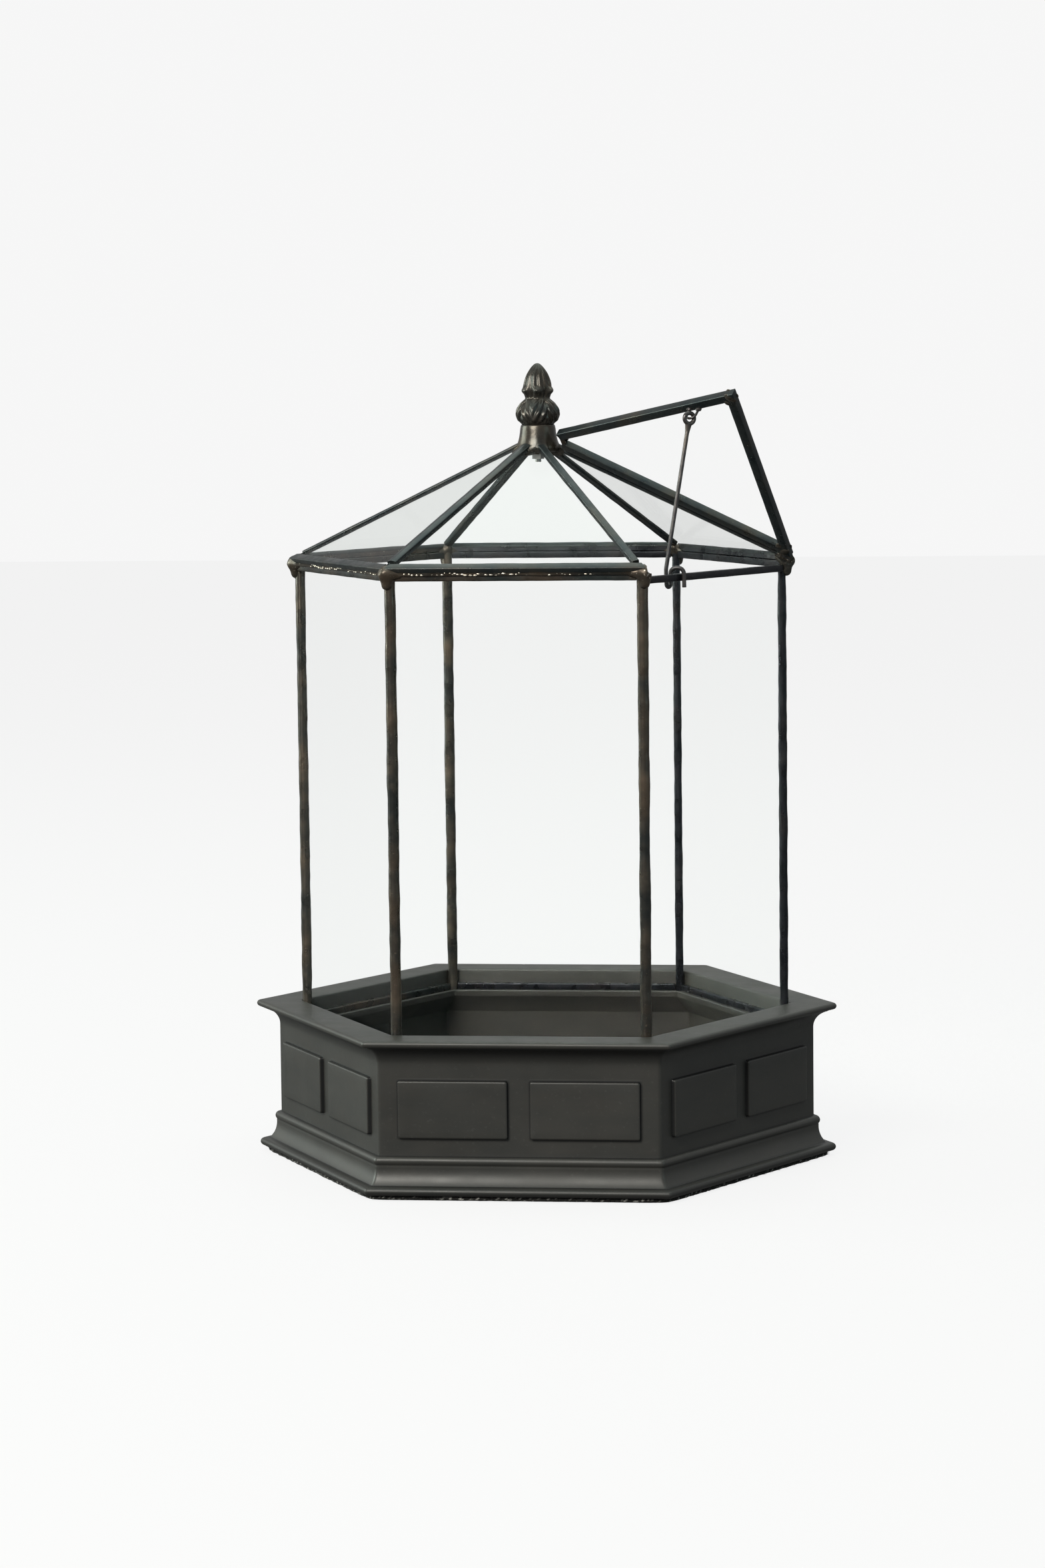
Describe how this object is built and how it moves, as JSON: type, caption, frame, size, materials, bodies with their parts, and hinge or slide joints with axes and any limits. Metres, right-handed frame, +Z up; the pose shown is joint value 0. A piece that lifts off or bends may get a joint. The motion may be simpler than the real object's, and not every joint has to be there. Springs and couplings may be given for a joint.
{
  "type": "glass cloche",
  "caption": "Hexagonal glass plant case: moulded base on felt, leaded glass house with pitched roof and cast finial, and a hinged roof door propped open by a hooked wire stay.",
  "frame": {"origin": "centre of the felt's underside, on the axis through the finial", "axes": "+Z up through the finial, -Y out of the front face, +X towards the corner on the right that carries the door hinge"},
  "size_m": [0.3966, 0.3434, 0.535],
  "materials": {
    "base_moulding": "satin charcoal paint on a one-piece moulding",
    "felt": "rough black felt",
    "glass": "clear sheet glass with a faint green edge",
    "came": "dark bronze patina, rubbed brighter on the edges",
    "solder": "lumpy solder under a dark patina",
    "finial_casting": "dark bronze casting, rubbed on the high points",
    "wire": "dark bronze wire",
    "fastener_steel": "plain steel"
  },
  "bodies": {
    "base": {"base_shell": "base_moulding", "felt_pad": "felt"},
    "glasshouse": {"sill_came_rear_right": "came", "sill_came_rear": "came", "sill_came_rear_left": "came", "sill_came_front_left": "came", "sill_came_front": "came", "sill_came_front_right": "came", "wall_pane_rear_right": "glass", "wall_pane_rear": "glass", "wall_pane_rear_left": "glass", "wall_pane_front_left": "glass", "wall_pane_front": "glass", "wall_pane_front_right": "glass", "corner_post_right": "came", "corner_post_rear_right": "came", "corner_post_rear_left": "came", "corner_post_left": "came", "corner_post_front_left": "came", "corner_post_front_right": "came", "wall_top_came_rear_right": "came", "wall_top_came_rear": "came", "wall_top_came_rear_left": "came", "wall_top_came_front_left": "came", "wall_top_came_front": "came", "wall_top_came_front_right": "came", "eave_came_rear_right": "came", "eave_came_rear": "came", "eave_came_rear_left": "came", "eave_came_front_left": "came", "eave_came_front": "came", "roof_pane_rear_right": "glass", "roof_pane_rear": "glass", "roof_pane_rear_left": "glass", "roof_pane_front_left": "glass", "roof_pane_front": "glass", "hip_came_right": "came", "hip_came_rear_right": "came", "hip_came_rear_left": "came", "hip_came_left": "came", "hip_came_front_left": "came", "hip_came_front_right": "came", "eave_solder": "solder", "apex_collar": "finial_casting", "finial": "finial_casting", "finial_stud": "fastener_steel", "finial_nut": "fastener_steel", "hinge_rod": "wire"},
    "roof_door": {"hinge_tube": "came", "door_hinge_stile": "came", "door_free_stile": "came", "door_bottom_rail": "came", "door_pane": "glass", "door_solder": "solder", "stay_staple": "wire"},
    "stay": {"stay_rod": "wire"}
  },
  "joints": [
    {"name": "glasshouse_lift", "type": "slide", "parent": "base", "child": "glasshouse", "axis": [0, 0, 1], "range_m": [0, 0.16]},
    {"name": "door_hinge", "type": "hinge", "parent": "glasshouse", "child": "roof_door", "pos_m": [0.00135, 0, 0.48879], "axis": [0.9007, 0, -0.4345], "range_deg": [0, 49.3]},
    {"name": "stay_swing", "type": "hinge", "parent": "roof_door", "child": "stay", "pos_m": [0.10912, -0.10253, 0.49894], "axis": [-0.192, 0.6292, 0.7532], "range_deg": [0, 79.41]}
  ],
  "couplings": [
    {"joint": "stay_swing", "follows": "door_hinge", "ratio": 1.6105}
  ]
}
